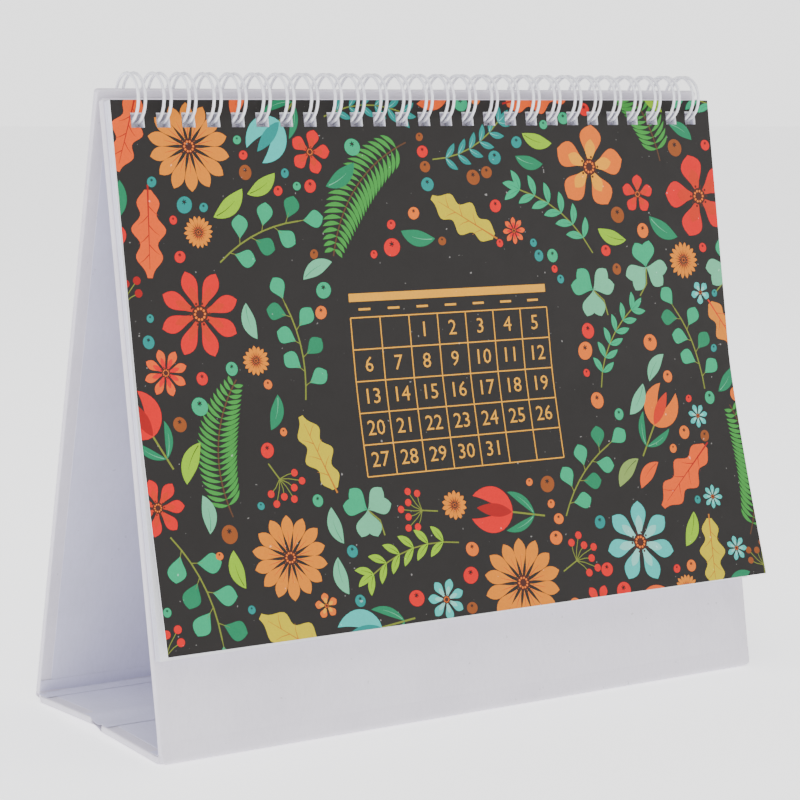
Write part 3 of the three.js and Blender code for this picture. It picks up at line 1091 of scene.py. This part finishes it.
def cover():
    thick = 0.0003
    place = curl(COVER.t[0], 4.6, 9.6, 88, 1.25, 0.0, 0.25, 0.6, (1.1, 0.6))
    scatter()
    left, right, top, bottom = 76, 152, 68, 118       # the month on the cover, in page millimetres
    wide = right - left
    month_grid(ART, left, top, right, bottom, 2, 31, 6.8, GOLD, GOLD, CHARCOAL, 0.4)
    bar(ART, left, 60.4, right, 63, GOLD)
    for c in range(7):
        bar(ART, left + (c + 0.3) * wide / 7, 65.1, left + (c + 0.7) * wide / 7, 65.8, GOLD)
    rows = [24 + 7 * i for i in range(20)]
    columns = [PAGE_W * i / 10 for i in range(1, 10)]
    printed_sheet("cover_sheet", "cover", "cover_sheet", place, thick, ART, CHARCOAL,
                  rows, columns, [INK, BACKING])


def month_leaf(n, node):
    plane = Plane(node, (0, -1, 0))
    thick = plane.t[1] - plane.t[0]
    back_order = len(LEAVES) - n                      # 0 for the last leaf, against the board
    rng = random.Random(40 + n)
    t0 = plane.t[0]
    squeeze = (t0 - FRONT.t[1]) / MM * 0.34
    lift = 0.25 + 0.09 * back_order
    place = curl(t0, lift * rng.uniform(0.7, 1.1), lift * rng.uniform(1.0, 1.5), 70, 1.5,
                 squeeze, 0.06, n, astray=(rng.uniform(-0.28, 0.28), rng.uniform(-0.12, 0.2)))
    accents = [TEAL_DARK, CORAL, GREEN, AMBER, RED, OLIVE]
    accent = accents[n % len(accents)]
    white, grey, dark = (0.9, 0.9, 0.93), (0.32, 0.31, 0.33), (0.045, 0.04, 0.042)
    lengths = (31, 28, 31, 30, 31, 30, 31, 31, 30, 31, 30, 31)
    first, days = (2 + sum(lengths[:n - 1])) % 7, lengths[n - 1]
    layers = []
    margin = 12
    w = (PAGE_W - 2 * margin) / 7
    month_grid(layers, margin, 44, PAGE_W - margin, 156, first, days, 9, dark, grey, white, 0.3)
    bar(layers, margin, 15, PAGE_W - margin, 30, accent)
    number(layers, str(n), 24, 22.5, 12, white, accent)
    for c in range(7):
        bar(layers, margin + (c + 0.3) * w, 38, margin + (c + 0.7) * w, 39.2, accent)
    rows = [30 + 9 * i for i in range(15)]
    printed_sheet(f"month_sheet_{n:02d}", node, f"{node}_sheet", place, thick, layers,
                  white, rows, [PAGE_W * i / 4 for i in (1, 2, 3)], [PRINT, PAGE])


cover()
for order, node in enumerate(LEAVES, 1):
    month_leaf(order, node)


# ---------------------------------------------------------------- stage, light and camera

def floor():
    mesh = bpy.data.meshes.new("floor")
    mesh.from_pydata([(-20, -20, 0), (20, -20, 0), (20, 20, 0), (-20, 20, 0)], [], [(0, 1, 2, 3)])
    obj = bpy.data.objects.new("floor", mesh)
    m, _, b = shader("floor", (0.93, 0.93, 0.94), 0.8)
    b.inputs["Emission Color"].default_value = (1, 1, 1, 1)
    b.inputs["Emission Strength"].default_value = 1.25
    mesh.materials.append(m)
    obj.location.z = -0.0002
    bpy.context.scene.collection.objects.link(obj)
    obj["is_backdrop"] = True


def lamp(name, place, target, size, power, color=(1, 1, 1)):
    data = bpy.data.lights.new(name, "AREA")
    data.shape = "RECTANGLE"
    data.size, data.size_y = size
    data.energy = power
    data.color = color
    obj = bpy.data.objects.new(name, data)
    obj.location = place
    obj.rotation_mode = "QUATERNION"
    obj.rotation_quaternion = (Vector(target) - Vector(place)).to_track_quat("-Z", "Y")
    bpy.context.scene.collection.objects.link(obj)
    obj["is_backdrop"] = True


def studio():
    world = bpy.data.worlds.new("studio")
    bpy.context.scene.world = world
    world.use_nodes = True
    world.node_tree.nodes["Background"].inputs["Color"].default_value = (1, 1, 1, 1)
    tree = world.node_tree
    coord = tree.nodes.new("ShaderNodeTexCoord")
    split = tree.nodes.new("ShaderNodeSeparateXYZ")
    tree.links.new(coord.outputs["Generated"], split.inputs["Vector"])
    glow = spread(tree, split.outputs["Z"], 2.2, 0.75, 0.06, 0.3)      # brighter round the horizon
    tree.links.new(glow, tree.nodes["Background"].inputs["Strength"])
    lamp("key", (-0.7, -1.2, 1.9), (0, 0, 0.1), (1.2, 1.2), 20)
    lamp("fill", (1.5, -1.1, 0.9), (0, 0, 0.1), (1.6, 1.2), 4)
    lamp("side", (-1.1, -0.1, 0.4), (0, 0, 0.02), (0.8, 0.6), 4.5, (0.86, 0.86, 1.0))
    lamp("top", (0, 0.2, 1.7), (0, 0, 0.1), (1.8, 1.4), 8)


def camera():
    """The photograph's view: low, from the front left, with the lens moved off centre."""
    data = bpy.data.cameras.new("camera")
    data.sensor_width = 36
    data.lens = 101.7
    data.shift_x, data.shift_y = 0.0744, 0.1082
    data.clip_start, data.clip_end = 0.01, 20
    obj = bpy.data.objects.new("camera", data)
    corner_x, corner_y = COVER.x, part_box("crease_front")[0].y
    obj.location = (-corner_x - 0.29756, corner_y - 0.57463, 0.19338)
    forward = Vector((0.5222, 0.83635, -0.16679))
    obj.rotation_mode = "QUATERNION"
    obj.rotation_quaternion = forward.to_track_quat("-Z", "Y")
    bpy.context.scene.collection.objects.link(obj)
    bpy.context.scene.camera = obj


floor()
studio()
camera()

low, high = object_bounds()
{"cad": [list(CAD_BOX[0]), list(CAD_BOX[1])], "visual": [list(low), list(high)]}
